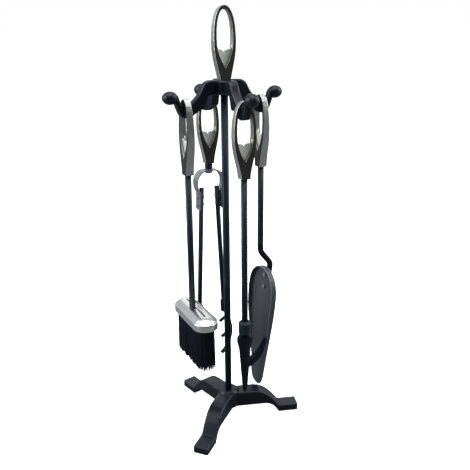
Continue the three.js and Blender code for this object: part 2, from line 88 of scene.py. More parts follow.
# making
WELD = 0.002 * MM         # points of a CAD node nearer than this are one point
EASE = 0.5                # how far one round of easing moves a point towards its neighbours
RELIEF_GAIN = 9           # brings the relief of a rounded edge up to about 1
RELIEF_BLUR = 0.6         # share that a point's neighbours have in each round of spreading its relief
RELIEF_ROUNDS = 3
HANDLE_RELIEF_ROUNDS = 6
WEB_REACH = 2.7 * MM      # the thin web in a handle's groove stays this close to the loop's middle
TURNED_CREASE = 35        # degrees; a sharper edge than this stays sharp in the shading
COVER_CREASE = 42
FIBRE_CREASE = 50
BOW_CREASE = 40
BOW_GRAIN_SHARE = 0.8     # the thin bow needs a finer skin than the pan

# plated cover of the brush
COVER_SEGMENTS = 96
COVER_RIM_SHARE = 0.62    # of the height is the straight rim, and the rest is the crown
COVER_SHOULDER_STEPS = 5
COVER_CROWN_STEPS = 9
COVER_CROWN_SHARE = 0.94  # of the way from the shoulder to the middle line is crowned
COVER_WALL = 2.5 * MM
COVER_HOLLOW = 8 * MM

# bristles
CORE_SEGMENTS = 48
CORE_INSET = 2.2 * MM     # the solid core stands this far inside the tuft
CORE_SHORT = 9 * MM       # and ends this far above the longest tips
ON_SEAM = 1e-7            # metres; a point of the core this near its middle line is on it
FIBRE_SEED = 7
FIBRE_SIDES = 5
FIBRE_JITTER = 0.3        # of the spacing
FIBRE_ROW_PITCH = 0.87    # rows stand closer than columns, as in a staggered filling
FIBRE_EDGE_CLEARANCE = 1.3  # radii from the edge of the tuft
FIBRE_INNER_INSET = 6.5 * MM  # hidden fibres, further in than this, are thinned out
FIBRE_INNER_DROPPED = 0.55
FIBRE_LEAN = 0.016        # radians
FIBRE_TIP_TAPER = 0.55
FIBRE_RANDOM_SHARE = 0.7  # of the ragged length is each fibre's own
FIBRE_CLUMP_SHARE = 0.3   # and the rest is shared by neighbours
CLUMP_ACROSS = 900        # radians a metre along the brush
CLUMP_WANDER = 3
CLUMP_DEPTH = 700         # radians a metre through the brush
FIBRE_ROOT_GAP = 0.3 * MM

# stage
FLOOR_GLOW = 0.92
FLOOR_HALF_SIDE = 60      # metres
FLOOR_DROP = 0.2 * MM
BACKDROP_GLOW = 1.0
ROOM_DIM = (0.035, 0.04, 0.05, 1)
ROOM_PALE = (0.55, 0.58, 0.62, 1)
ROOM_EDGE = 0.75          # how far round to the back the room has become fully pale
LIGHTS_AIM = (0, 0, 0.33)
SOFTBOXES = (             # name, place in metres, width, height, watts, tint
    ("left_softbox", (-1.7, -0.3, 1.1), 1.1, 1.8, 46, (0.96, 0.98, 1.0)),
    ("right_softbox", (1.8, 0.25, 1.2), 1.0, 1.8, 38, (0.97, 0.98, 1.0)),
    ("top_softbox", (0.1, -0.3, 2.3), 1.8, 1.8, 40, (1.0, 1.0, 1.0)),
    ("back_softbox", (0.2, 2.2, 1.6), 2.2, 1.4, 8, (1.0, 1.0, 1.0)))
CAMERA_RIGHT = 2.23 * MM  # from the post's axis
CAMERA_BACK = 913.94 * MM
CAMERA_HEIGHT = 628.97 * MM
CAMERA_TURN, CAMERA_DOWN, CAMERA_ROLL = 0.7, 18.8, -0.54  # degrees
CAMERA_LENS = 48.14
CAMERA_SENSOR = 36


# ---------------------------------------------------------------- sizes and colours a user changes


class HearthSizes(bpy.types.PropertyGroup):
    """Sizes of the detail that the finished pieces carry."""

    cast_grain: bpy.props.FloatProperty(
        name="Cast grain", description="Cell of the skin that the cast pieces are relaxed on",
        default=0.9 * MM, min=0.5 * MM, max=2 * MM, unit="LENGTH", precision=5)
    handle_grain: bpy.props.FloatProperty(
        name="Handle grain", description="Cell of the skin that the loop handles are relaxed on",
        default=0.55 * MM, min=0.4 * MM, max=1.5 * MM, unit="LENGTH", precision=5)
    sheet_grain: bpy.props.FloatProperty(
        name="Sheet grain", description="Cell of the skin on the pressed pan and the sprung bow",
        default=0.7 * MM, min=0.5 * MM, max=1.2 * MM, unit="LENGTH", precision=5)
    rim_round: bpy.props.FloatProperty(
        name="Rim round", description="Radius on the shoulder of the brush's plated cover",
        default=1.6 * MM, min=0.5 * MM, max=3 * MM, unit="LENGTH", precision=5)
    fibre_radius: bpy.props.FloatProperty(
        name="Fibre radius", description="Radius of one bristle at its root",
        default=0.5 * MM, min=0.2 * MM, max=1 * MM, unit="LENGTH", precision=5)
    fibre_spacing: bpy.props.FloatProperty(
        name="Fibre spacing", description="Distance between neighbouring bristles",
        default=1.15 * MM, min=0.8 * MM, max=3 * MM, unit="LENGTH", precision=5)
    fibre_ragged: bpy.props.FloatProperty(
        name="Ragged ends", description="How much shorter the shortest bristles are",
        default=9 * MM, min=0, max=15 * MM, unit="LENGTH", precision=5)


class HearthFinishes(bpy.types.PropertyGroup):
    """Colours of the finishes."""

    enamel: bpy.props.FloatVectorProperty(
        name="Black enamel", description="Paint on the castings and the shafts",
        default=(0.0045, 0.0062, 0.0095), size=3, min=0, max=1, subtype="COLOR")
    pewter: bpy.props.FloatVectorProperty(
        name="Antique pewter", description="Bright metal of the loop handles",
        default=(0.46, 0.47, 0.43), size=3, min=0, max=1, subtype="COLOR")
    plate: bpy.props.FloatVectorProperty(
        name="Bright plate", description="Plated cover of the brush",
        default=(0.74, 0.74, 0.72), size=3, min=0, max=1, subtype="COLOR")
    spring: bpy.props.FloatVectorProperty(
        name="Spring steel", description="Bow of the tongs and the rivets",
        default=(0.36, 0.37, 0.38), size=3, min=0, max=1, subtype="COLOR")
    graphite: bpy.props.FloatVectorProperty(
        name="Graphite sheet", description="Pressed pan of the shovel",
        default=(0.062, 0.068, 0.078), size=3, min=0, max=1, subtype="COLOR")
    bristle: bpy.props.FloatVectorProperty(
        name="Bristle", description="Fibres of the brush",
        default=(0.006, 0.008, 0.018), size=3, min=0, max=1, subtype="COLOR")
    floor: bpy.props.FloatVectorProperty(
        name="Floor", description="Pale studio floor",
        default=(0.9, 0.9, 0.9), size=3, min=0, max=1, subtype="COLOR")


def sizes():
    return bpy.context.scene.hearth_sizes


def finishes():
    return bpy.context.scene.hearth_finishes


# ---------------------------------------------------------------- shader sums


class Socket:
    """A node's output that takes part in plain arithmetic."""

    def __init__(self, finish, output):
        self.finish = finish
        self.output = output

    def sum(self, operation, first, second):
        return self.finish.node("ShaderNodeMath", {"operation": operation}, {0: first, 1: second})

    def __add__(self, other):
        return self.sum("ADD", self, other)

    def __radd__(self, other):
        return self.sum("ADD", other, self)

    def __sub__(self, other):
        return self.sum("SUBTRACT", self, other)

    def __rsub__(self, other):
        return self.sum("SUBTRACT", other, self)

    def __mul__(self, other):
        return self.sum("MULTIPLY", self, other)

    def __rmul__(self, other):
        return self.sum("MULTIPLY", other, self)


class Finish:
    """A material on one Principled shader, with every other node made by node()."""

    def __init__(self, name, **constants):
        self.material = bpy.data.materials.new(name)
        self.material.use_nodes = True
        self.tree = self.material.node_tree
        self.shader = self.tree.nodes["Principled BSDF"]
        for socket, value in constants.items():
            self.shader.inputs[socket.replace("_", " ")].default_value = value
        self.place = self.node("ShaderNodeTexCoord", out="Object")

    def node(self, kind, settings=None, values=None, out=0):
        made = self.tree.nodes.new(kind)
        for name, value in (settings or {}).items():
            setattr(made, name, value)
        for name, value in (values or {}).items():
            self.put(made.inputs[name], value)
        return Socket(self, made.outputs[out])

    def put(self, socket, value):
        if isinstance(value, Socket):
            self.tree.links.new(value.output, socket)
        elif hasattr(value, "__len__") and len(socket.default_value) == 4:
            socket.default_value = (*value[:3], 1)
        else:
            socket.default_value = value

    def feed(self, name, value):
        self.put(self.shader.inputs[name], value)

    def noise(self, scale, detail=3.0, rough=0.55, place=None):
        return self.node("ShaderNodeTexNoise", None, {
            "Vector": place or self.place, "Scale": scale, "Detail": detail, "Roughness": rough})

    def stretched(self, x, y, z):
        return self.node("ShaderNodeMapping", None, {"Vector": self.place, "Scale": (x, y, z)})

    def relief(self):
        """+ on the outer edges and - in the hollows, as mark_relief stores it on the piece."""
        return self.node("ShaderNodeAttribute", {"attribute_name": "relief"}, out="Fac")

    def range(self, value, low, high, to_low=0.0, to_high=1.0):
        return self.node("ShaderNodeMapRange", {"interpolation_type": "SMOOTHSTEP"}, {
            "Value": value, "From Min": low, "From Max": high, "To Min": to_low, "To Max": to_high})

    def mix(self, mask, first, second):
        return self.node("ShaderNodeMix", {"data_type": "RGBA"}, {0: mask, 6: first, 7: second}, out=2)

    def bump(self, height, strength, depth):
        self.feed("Normal", self.node("ShaderNodeBump", None, {
            "Height": height, "Strength": strength, "Distance": depth}))


def shade(colour, factor):
    return tuple(min(1.0, channel * factor) for channel in colour)


def cast_enamel():
    """Satin black enamel that lies over sand-cast iron, with a painted highlight on the edges."""
    colour = finishes().enamel
    f = Finish("cast_enamel", Metallic=0.0, Specular_IOR_Level=0.24)
    sand = f.noise(900, detail=4, rough=0.6)
    flow = f.noise(60, detail=2)
    # painted highlight: the edges are painted up to four times brighter than the enamel
    edge = f.range(f.relief() + flow * 0.25, 0.25, 0.8)
    paint = f.mix(flow, shade(colour, 0.8), shade(colour, 1.5))
    f.feed("Base Color", f.mix(edge, paint, shade(colour, 4)))
    f.feed("Roughness", 0.24 + sand * 0.12 + flow * 0.08)
    f.bump(sand + flow * 1.6, 0.35, 0.25 * MM)
    return f.material


def shaft_enamel():
    """Glossier black enamel on drawn rod, with the faint ripple of a dipped coat and a painted highlight on
    its edges.
    """
    colour = finishes().enamel
    f = Finish("shaft_enamel", Metallic=0.0, Specular_IOR_Level=0.12)
    peel = f.noise(520, detail=3)
    run = f.noise(30, detail=2, place=f.stretched(1, 1, 0.25))
    # painted highlight: the edges are painted brighter than the enamel
    edge = f.range(f.relief() + peel * 0.3, 0.35, 0.9)
    paint = f.mix(run, shade(colour, 0.8), shade(colour, 1.4))
    f.feed("Base Color", f.mix(edge, paint, shade(colour, 3.5)))
    f.feed("Roughness", 0.22 + peel * 0.08 + run * 0.08)
    f.bump(peel, 0.16, 0.15 * MM)
    return f.material


def antique_pewter():
    """Cast pewter rubbed bright on its broad flanks, with a painted dark reflection on the loop's front and
    back edges, dark tarnish in its hollows and a painted highlight on the web in its groove.
    """
    colour = finishes().pewter
    f = Finish("antique_pewter", Specular_IOR_Level=0.2)
    cloud = f.noise(110, detail=4, rough=0.6)
    pits = f.noise(1400, detail=3, rough=0.6)
    rub = f.noise(160, detail=3, place=f.stretched(1, 1, 0.2))
    front = f.node("ShaderNodeAttribute", {"attribute_name": "front"}, out="Fac")
    # painted reflection: faces that point the way a hook runs through the loop are painted near-black, as
    # polished metal mirroring a dark room
    edge = f.range(front + (cloud - 0.5) * 0.3, 0.55, 0.85)
    hollow = f.range(f.relief() * -1 + cloud * 0.3, 0.15, 0.6)
    # the stronger of the painted dark reflection and the dark tarnish in the hollows
    patina_and_painted_reflection = f.node("ShaderNodeMath", {"operation": "MAXIMUM"}, {0: edge * 0.96, 1: hollow * 0.6})
    # painted highlight: the web in the groove is painted paler and less metallic so that it reads as lit
    web = f.range(front * -1, 0.5, 0.9)
    bright = f.mix(cloud, shade(colour, 0.75), shade(colour, 1.25))
    bright = f.mix(web, bright, shade(colour, 1.6))
    f.feed("Base Color", f.mix(patina_and_painted_reflection, bright, (0.008, 0.007, 0.006)))
    f.feed("Metallic", 0.92 - patina_and_painted_reflection * 0.9 - web * 0.5)
    f.feed("Roughness", 0.3 + rub * 0.14 + patina_and_painted_reflection * 0.06)
    f.bump(pits * 0.5 + rub, 0.22, 0.2 * MM)
    return f.material


def bright_plate():
    """Polished nickel plate over pressed steel, with faint polishing waves."""
    colour = finishes().plate
    f = Finish("bright_plate", Metallic=1.0)
    wave = f.noise(28, detail=2)
    haze = f.noise(300, detail=3)
    f.feed("Base Color", f.mix(haze, shade(colour, 0.92), colour))
    f.feed("Roughness", 0.22 + haze * 0.1 + wave * 0.06)
    f.bump(wave, 0.08, 0.5 * MM)
    return f.material


def spring_steel():
    """Blue-grey strip steel with a rolled grain along its length."""
    colour = finishes().spring
    f = Finish("spring_steel", Metallic=0.95)
    grain = f.noise(1100, detail=4, rough=0.6, place=f.stretched(1, 1, 0.05))
    stain = f.noise(70, detail=3)
    f.feed("Base Color", f.mix(stain, shade(colour, 0.7), shade(colour, 1.15)))
    f.feed("Roughness", 0.3 + grain * 0.16 + stain * 0.06)
    f.bump(grain, 0.18, 0.1 * MM)
    return f.material


def rivet_steel():
    """Zinc-bright headed steel, dulled here and there."""
    colour = finishes().spring
    f = Finish("rivet_steel", Metallic=0.95)
    dull = f.noise(500, detail=3)
    f.feed("Base Color", f.mix(dull, shade(colour, 0.9), shade(colour, 1.5)))
    f.feed("Roughness", 0.28 + dull * 0.2)
    f.bump(dull, 0.15, 0.1 * MM)
    return f.material


def graphite_sheet():
    """Satin graphite paint on pressed sheet, scuffed here and there, with a painted highlight on its rims.
    """
    colour = finishes().graphite
    f = Finish("graphite_sheet", Metallic=0.25, Specular_IOR_Level=0.4)
    orange = f.noise(800, detail=3)
    scuff = f.noise(140, detail=4, rough=0.65, place=f.stretched(1, 1, 0.12))
    # painted highlight on the rims, mixed with scuffs: painted up to 2.4 times brighter than the paint
    scuffs_and_painted_highlight = f.range(f.relief() + scuff * 0.5, 0.45, 0.95)
    paint = f.mix(scuff, shade(colour, 0.8), shade(colour, 1.25))
    f.feed("Base Color", f.mix(scuffs_and_painted_highlight, paint, shade(colour, 2.4)))
    f.feed("Roughness", 0.34 + orange * 0.1 + scuff * 0.12)
    f.bump(orange + scuff * 0.6, 0.2, 0.15 * MM)
    return f.material


def bristle_fibre():
    """Synthetic bristle: dark blue-black, each fibre a shade of its own."""
    colour = finishes().bristle
    f = Finish("bristle_fibre", Metallic=0.0, Specular_IOR_Level=0.2)
    own = f.node("ShaderNodeAttribute", {"attribute_name": "fibre_shade"}, out="Fac")
    streak = f.noise(900, detail=2, place=f.stretched(1, 1, 0.08))
    f.feed("Base Color", f.mix(own * 0.7 + streak * 0.3, shade(colour, 0.35), shade(colour, 2.2)))
    f.feed("Roughness", 0.42 + streak * 0.2)
    f.bump(streak, 0.2, 0.1 * MM)
    return f.material


def sealed_wood():
    """Beech of the bristle block, under a thin seal."""
    f = Finish("sealed_wood", Metallic=0.0)
    rings = f.node("ShaderNodeTexWave", {"wave_type": "RINGS", "rings_direction": "Y"}, {
        "Vector": f.stretched(1, 0.12, 1), "Scale": 90.0, "Distortion": 3.0, "Detail": 3.0}, out="Fac")
    f.feed("Base Color", f.mix(rings, (0.33, 0.2, 0.11), (0.5, 0.34, 0.2)))
    f.feed("Roughness", 0.5 + rings * 0.15)
    f.bump(rings, 0.15, 0.1 * MM)
    return f.material


def pale_floor():
    """Matt pale studio sweep, glowing so that shadows on it stay faint; what mirrors it sees it dim."""
    f = Finish("pale_floor", Metallic=0.0, Specular_IOR_Level=0.0, Roughness=1.0,
               Emission_Color=(1, 1, 1, 1), Emission_Strength=FLOOR_GLOW)
    dust = f.noise(6, detail=2)
    f.feed("Base Color", f.mix(dust, shade(finishes().floor, 0.99), finishes().floor))
    dim = f.node("ShaderNodeBsdfDiffuse", None, {"Color": (0.16, 0.165, 0.18)})
    seen = f.node("ShaderNodeLightPath", out="Is Camera Ray")
    both = f.node("ShaderNodeMixShader", None, {0: seen, 1: dim})
    f.tree.links.new(f.shader.outputs[0], both.output.node.inputs[2])
    f.tree.links.new(both.output, f.tree.nodes["Material Output"].inputs["Surface"])
    return f.material


FINISHES = {}


def finish(make):
    if make.__name__ not in FINISHES:
        FINISHES[make.__name__] = make()
    return FINISHES[make.__name__]


# ---------------------------------------------------------------- shared making


def welded(node):
    """The node's own shape as one connected mesh."""
    bm = bmesh.new()
    bm.from_mesh(frame["nodes"][node].data)
    bmesh.ops.remove_doubles(bm, verts=bm.verts, dist=WELD)
    return bm


def relaxed(bm, grain, rounds):
    """The shape on an even skin of small cells, its edges eased as a casting's or a pressing's are."""
    mesh = bpy.data.meshes.new("skin")
    bm.to_mesh(mesh)
    bm.free()
    holder = bpy.data.objects.new("skin", mesh)
    bpy.context.scene.collection.objects.link(holder)
    skin = holder.modifiers.new("Skin", "REMESH")
    skin.mode = "VOXEL"
    skin.voxel_size = grain
    ease = holder.modifiers.new("Ease", "SMOOTH")
    ease.factor = EASE
    ease.iterations = rounds
    done = bpy.data.meshes.new_from_object(
        holder.evaluated_get(bpy.context.evaluated_depsgraph_get()))
    bpy.data.objects.remove(holder)
    bm = bmesh.new()
    bm.from_mesh(done)
    bpy.data.meshes.remove(done)
    return bm


def mark_relief(mesh, rounds):
    """Stores how far each point stands proud of its neighbours: + on edges, - in hollows."""
    count = len(mesh.vertices)
    place = np.empty(count * 3)
    normal = np.empty(count * 3)
    ends = np.empty(len(mesh.edges) * 2, dtype=np.int64)
    mesh.vertices.foreach_get("co", place)
    mesh.vertices.foreach_get("normal", normal)
    mesh.edges.foreach_get("vertices", ends)
    place, normal, ends = place.reshape(-1, 3), normal.reshape(-1, 3), ends.reshape(-1, 2)
    joined = np.maximum(np.bincount(ends.ravel(), minlength=count), 1)

    def around(values):
        gathered = np.bincount(ends[:, 0], values[ends[:, 1]], count)
        return (gathered + np.bincount(ends[:, 1], values[ends[:, 0]], count)) / joined

    step = np.linalg.norm(place[ends[:, 0]] - place[ends[:, 1]], axis=1).mean()
    proud = sum((place[:, k] - around(place[:, k])) * normal[:, k] for k in range(3)) / step
    for _ in range(rounds):
        proud = (1 - RELIEF_BLUR) * proud + RELIEF_BLUR * around(proud)
    stored = mesh.attributes.new("relief", "FLOAT", "POINT")
    stored.data.foreach_set("value", np.clip(proud * RELIEF_GAIN, -1, 1).astype(np.float32))


def mark_front(mesh):
    """Stores how squarely each point faces the way that a hook runs through the loop, - on the web."""
    count = len(mesh.vertices)
    place, normal = np.empty(count * 3), np.empty(count * 3)
    mesh.vertices.foreach_get("co", place)
    mesh.vertices.foreach_get("normal", normal)
    flat = place.reshape(-1, 3)[:, :2]
    thin = np.linalg.eigh(np.cov((flat - flat.mean(axis=0)).T))[1][:, 0]
    facing = np.abs(normal.reshape(-1, 3)[:, :2] @ thin)
    proud = np.where(np.abs((flat - flat.mean(axis=0)) @ thin) > WEB_REACH, 1, -1)
    stored = mesh.attributes.new("front", "FLOAT", "POINT")
    stored.data.foreach_set("value", (facing * proud).astype(np.float32))


def piece(bm, name, body, make, nodes=(), crease=None, relief_rounds=RELIEF_ROUNDS):
    """A finished mesh as a piece that stands for its CAD nodes and rides on a body, if one is named."""
    mesh = bpy.data.meshes.new(name)
    bm.to_mesh(mesh)
    bm.free()
    mesh.shade_smooth()
    if crease:
        mesh.set_sharp_from_angle(angle=math.radians(crease))
    mark_relief(mesh, relief_rounds)
    made = bpy.data.objects.new(name, mesh)
    bpy.context.scene.collection.objects.link(made)
    mesh.materials.append(finish(make))
    if body:
        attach(made, body)
    if nodes:
        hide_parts(*nodes)
    return made


def cast_piece(node, make, grain, rounds, name=None, relief_rounds=RELIEF_ROUNDS):
    return piece(relaxed(welded(node), grain, rounds), name or node + "_cast", BODY_OF[node], make,
                 [node], relief_rounds=relief_rounds)


def turned_piece(node, make):
    piece(welded(node), node + "_turned", BODY_OF[node], make, [node], TURNED_CREASE)


def keep_node(node, make):
    """The CAD shape is right as it is, and only takes its finish."""
    mesh = frame["nodes"][node].data
    mesh.materials.clear()
    mesh.materials.append(finish(make))


def middle(node):
    low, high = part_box(node)
    return Vector([(a + b) / 2 for a, b in zip(low, high)])


def oval(node):
    """A round-ended piece's placing about its own middle on the floor, its half straight and half width."""
    source = frame["nodes"][node].data
    flat = np.array([v.co.to_2d() for v in source.vertices])
    centre = (flat.max(axis=0) + flat.min(axis=0)) / 2
    off = flat - centre
    far = off[np.argmax((off ** 2).sum(axis=1))]
    along = np.linalg.eigh(np.cov(off.T))[1][:, 1]
    along = along * math.copysign(1, along @ far)
    half_length = np.abs(off @ along).max()
    half_width = np.abs(off @ np.array((-along[1], along[0]))).max()
    placed = Matrix.Translation((centre[0], centre[1], 0)) @ \
        Matrix.Rotation(math.atan2(along[1], along[0]), 4, "Z")
    return placed, half_length - half_width, half_width


# ---------------------------------------------------------------- the pieces


class HEARTH_OT_base(bpy.types.Operator):
    """Make the cast tripod base with the nut and washer under it"""

    bl_idname = "hearth.base"
    bl_label = "Tripod Base"

    def execute(self, context):
        cast_piece("tripod_base", cast_enamel, sizes().cast_grain, rounds=6)
        keep_node("base_washer", rivet_steel)
        keep_node("base_nut", rivet_steel)
        return {"FINISHED"}


class HEARTH_OT_post(bpy.types.Operator):
    """Make the post and the stud that holds the top handle"""

    bl_idname = "hearth.post"
    bl_label = "Post"

    def execute(self, context):
        turned_piece("post", shaft_enamel)
        keep_node("top_stud", rivet_steel)
        return {"FINISHED"}


class HEARTH_OT_hooks(bpy.types.Operator):
    """Make the hub and its four upturned hook arms"""

    bl_idname = "hearth.hooks"
    bl_label = "Hub and Hook Arms"

    def execute(self, context):
        cast_piece("hook_hub", cast_enamel, sizes().handle_grain, rounds=4)
        for arm in HOOK_ARMS:
            cast_piece(arm, cast_enamel, sizes().handle_grain, rounds=5)
        return {"FINISHED"}


class HEARTH_OT_handles(bpy.types.Operator):
    """Make the five pewter loop handles"""

    bl_idname = "hearth.handles"
    bl_label = "Loop Handles"

    def execute(self, context):
        for handle in HANDLES:
            loop = cast_piece(handle, antique_pewter, sizes().handle_grain, rounds=5,
                              relief_rounds=HANDLE_RELIEF_ROUNDS)
            mark_front(loop.data)
        return {"FINISHED"}


class HEARTH_OT_shafts(bpy.types.Operator):
    """Make the tool shafts, the tongs legs and the turned collars"""

    bl_idname = "hearth.shafts"
    bl_label = "Shafts and Collars"

    def execute(self, context):
        for node in ("brush_shaft", "poker_shaft", "shovel_shaft", "poker_collar",
                     "tongs_collar", "tongs_leg_left", "tongs_leg_right"):
            turned_piece(node, shaft_enamel)
        keep_node("tongs_stud", rivet_steel)
        return {"FINISHED"}


class HEARTH_OT_brush(bpy.types.Operator):
    """Make the brush: plated cover, wooden block and bristles"""

    bl_idname = "hearth.brush"
    bl_label = "Brush"

    def execute(self, context):
        piece(self.cover(), "brush_cover_plated", "brush", bright_plate, ["brush_head"],
              COVER_CREASE)
        keep_node("brush_block", sealed_wood)
        piece(self.bristles(), "brush_bristle_fibres", "brush", bristle_fibre,
              ["brush_bristles"], FIBRE_CREASE)
        return {"FINISHED"}

    def cover(self):
        """Pressed cover: a straight rim, a rounded shoulder and a low crown, hollow underneath."""
        placed, straight, half_width = oval("brush_head")
        low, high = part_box("brush_head")
        bm = bmesh.new()
        ring = bmesh.ops.create_circle(bm, cap_ends=True, segments=COVER_SEGMENTS, radius=half_width)
        for v in ring["verts"]:
            v.co.x += math.copysign(straight, v.co.x)
        lifted = bmesh.ops.extrude_face_region(bm, geom=bm.faces[:])["geom"]
        top = next(g for g in lifted if isinstance(g, bmesh.types.BMFace))
        rise = high[2] - low[2]
        rim = COVER_RIM_SHARE * rise
        bmesh.ops.translate(bm, verts=top.verts[:], vec=(0, 0, rim))
        bmesh.ops.bevel(bm, geom=top.edges[:], offset=sizes().rim_round,
                        segments=COVER_SHOULDER_STEPS, profile=0.5, affect="EDGES", material=-1)
        top = max((f for f in bm.faces if len(f.verts) > 4), key=lambda f: f.calc_center_median().z)
        inner = half_width - sizes().rim_round
        for step in range(COVER_CROWN_STEPS):
            bmesh.ops.inset_region(bm, faces=[top], thickness=inner * COVER_CROWN_SHARE / COVER_CROWN_STEPS,
                                   use_even_offset=True)
            done = (step + 1) / COVER_CROWN_STEPS
            height = rim + (rise - rim) * (1 - (1 - done) ** 3)
            for v in top.verts:
                v.co.z = height
        under = min((f for f in bm.faces if len(f.verts) > 4), key=lambda f: f.calc_center_median().z)
        bmesh.ops.inset_region(bm, faces=[under], thickness=COVER_WALL, use_even_offset=True)
        sunk = bmesh.ops.extrude_face_region(bm, geom=[under])["geom"]
        bmesh.ops.delete(bm, geom=[under], context="FACES_ONLY")
        bmesh.ops.translate(bm, verts=[g for g in sunk if isinstance(g, bmesh.types.BMVert)],
                            vec=(0, 0, COVER_HOLLOW))
        bmesh.ops.transform(bm, matrix=Matrix.Translation((0, 0, low[2])) @ placed, verts=bm.verts)
        bmesh.ops.recalc_face_normals(bm, faces=bm.faces)
        return bm

    def bristles(self):
        """Fibres on a jittered grid over a core a little smaller than the tuft."""
        placed, straight, half_width = oval("brush_bristles")
        half_length = straight + half_width
        low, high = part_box("brush_bristles")
        root, tip = high[2], low[2]

        def inside(x, y, inset):
            over = max(abs(x) - straight, 0)
            return math.hypot(over, y) <= half_width - inset

        bm = bmesh.new()
        ring = bmesh.ops.create_circle(bm, cap_ends=True, segments=CORE_SEGMENTS,
                                       radius=half_width - CORE_INSET)
        for v in ring["verts"]:
            v.co.x += math.copysign(straight, v.co.x) if abs(v.co.x) > ON_SEAM else 0
        walls = bmesh.ops.extrude_face_region(bm, geom=bm.faces[:])
        top = [g for g in walls["geom"] if isinstance(g, bmesh.types.BMVert)]
        bmesh.ops.translate(bm, verts=bm.verts, vec=(0, 0, tip + CORE_SHORT))
        bmesh.ops.translate(bm, verts=top, vec=(0, 0, root - tip - CORE_SHORT))
        bmesh.ops.transform(bm, matrix=placed, verts=bm.verts)
        bmesh.ops.recalc_face_normals(bm, faces=bm.faces)
        bm.faces.layers.float.new("fibre_shade")
        dice = random.Random(FIBRE_SEED)
        gap = sizes().fibre_spacing
        radius = sizes().fibre_radius
        ragged = sizes().fibre_ragged
        rows = int(half_width / (gap * FIBRE_ROW_PITCH)) + 1
        columns = int(half_length / gap) + 1
        for row in range(-rows, rows + 1):
            batch = bmesh.new()
            batch_shade = batch.faces.layers.float.new("fibre_shade")
            for column in range(-columns, columns + 1):
                x = (column + 0.5 * (row % 2)) * gap + dice.uniform(-FIBRE_JITTER, FIBRE_JITTER) * gap
                y = row * gap * FIBRE_ROW_PITCH + dice.uniform(-FIBRE_JITTER, FIBRE_JITTER) * gap
                if not inside(x, y, radius * FIBRE_EDGE_CLEARANCE):
                    continue
                if inside(x, y, FIBRE_INNER_INSET) and dice.random() < FIBRE_INNER_DROPPED:
                    continue
                short = dice.random() ** 2 * FIBRE_RANDOM_SHARE * ragged
                clump = 0.5 + 0.5 * math.sin(x * CLUMP_ACROSS + CLUMP_WANDER * math.sin(y * CLUMP_DEPTH))
                short += clump * FIBRE_CLUMP_SHARE * ragged
                length = root - tip - short
                lean = Matrix.Rotation(dice.uniform(-FIBRE_LEAN, FIBRE_LEAN), 4, "X") @ \
                    Matrix.Rotation(dice.uniform(-FIBRE_LEAN, FIBRE_LEAN), 4, "Y")
                stand = placed @ Matrix.Translation((x, y, root - FIBRE_ROOT_GAP)) @ lean @ \
                    Matrix.Translation((0, 0, -length / 2))
                old = len(batch.faces)
                bmesh.ops.create_cone(batch, cap_ends=True, segments=FIBRE_SIDES,
                                      radius1=radius * FIBRE_TIP_TAPER, radius2=radius,
                                      depth=length - 2 * FIBRE_ROOT_GAP, matrix=stand)
                batch.faces.ensure_lookup_table()
                tone = dice.random()
                for face in batch.faces[old:]:
                    face[batch_shade] = tone
            batch_mesh = bpy.data.meshes.new("fibres")
            batch.to_mesh(batch_mesh)
            batch.free()
            bm.from_mesh(batch_mesh)
            bpy.data.meshes.remove(batch_mesh)
        return bm


class HEARTH_OT_poker(bpy.types.Operator):
    """Make the poker's forged point and its barb"""

    bl_idname = "hearth.poker"
    bl_label = "Poker Point and Barb"

    def execute(self, context):
        cast_piece("poker_point", shaft_enamel, sizes().handle_grain, rounds=5)
        cast_piece("poker_barb", shaft_enamel, sizes().handle_grain, rounds=5)
        return {"FINISHED"}


class HEARTH_OT_shovel(bpy.types.Operator):
    """Make the shovel's pressed pan and its rivets"""

    bl_idname = "hearth.shovel"
    bl_label = "Shovel Pan"

    def execute(self, context):
        cast_piece("shovel_pan", graphite_sheet, sizes().sheet_grain, rounds=4,
                   name="shovel_pan_pressed")
        for rivet in ("shovel_rivet_upper", "shovel_rivet_lower"):
            turned_piece(rivet, rivet_steel)
        return {"FINISHED"}


class HEARTH_OT_tongs(bpy.types.Operator):
    """Make the sprung bow in two halves, the rivets and the claws"""

    bl_idname = "hearth.tongs"
    bl_label = "Tongs Bow and Claws"

    def execute(self, context):
        joints = {j["name"]: j for j in BEHAVIOUR["joints"]}
        for side in ("left", "right"):
            squeeze = joints["tongs_squeeze_" + side]
            crown = Vector(squeeze["pos_m"])
            across = Vector((0, 0, 1)).cross(Vector(squeeze["axis"]))
            reach = (middle("tongs_leg_" + side) - crown).dot(across)
            across = across.normalized() * math.copysign(1, reach)
            bm = relaxed(welded("tongs_bow"), sizes().sheet_grain * BOW_GRAIN_SHARE, rounds=3)
            cut = bmesh.ops.bisect_plane(bm, geom=bm.verts[:] + bm.edges[:] + bm.faces[:],
                                         plane_co=crown, plane_no=across, clear_inner=True)
            rim = [g for g in cut["geom_cut"] if isinstance(g, bmesh.types.BMEdge)]
            bmesh.ops.holes_fill(bm, edges=rim, sides=0)
            half = piece(bm, "tongs_bow_half_" + side, None, spring_steel,
                         ["tongs_bow"] if side == "left" else [], BOW_CREASE)
            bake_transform(half)
            cast_piece("tongs_claw_" + side, shaft_enamel, sizes().handle_grain, rounds=4)
            for level in ("upper", "lower"):
                turned_piece("tongs_rivet_{}_{}".format(level, side), rivet_steel)
        return {"FINISHED"}


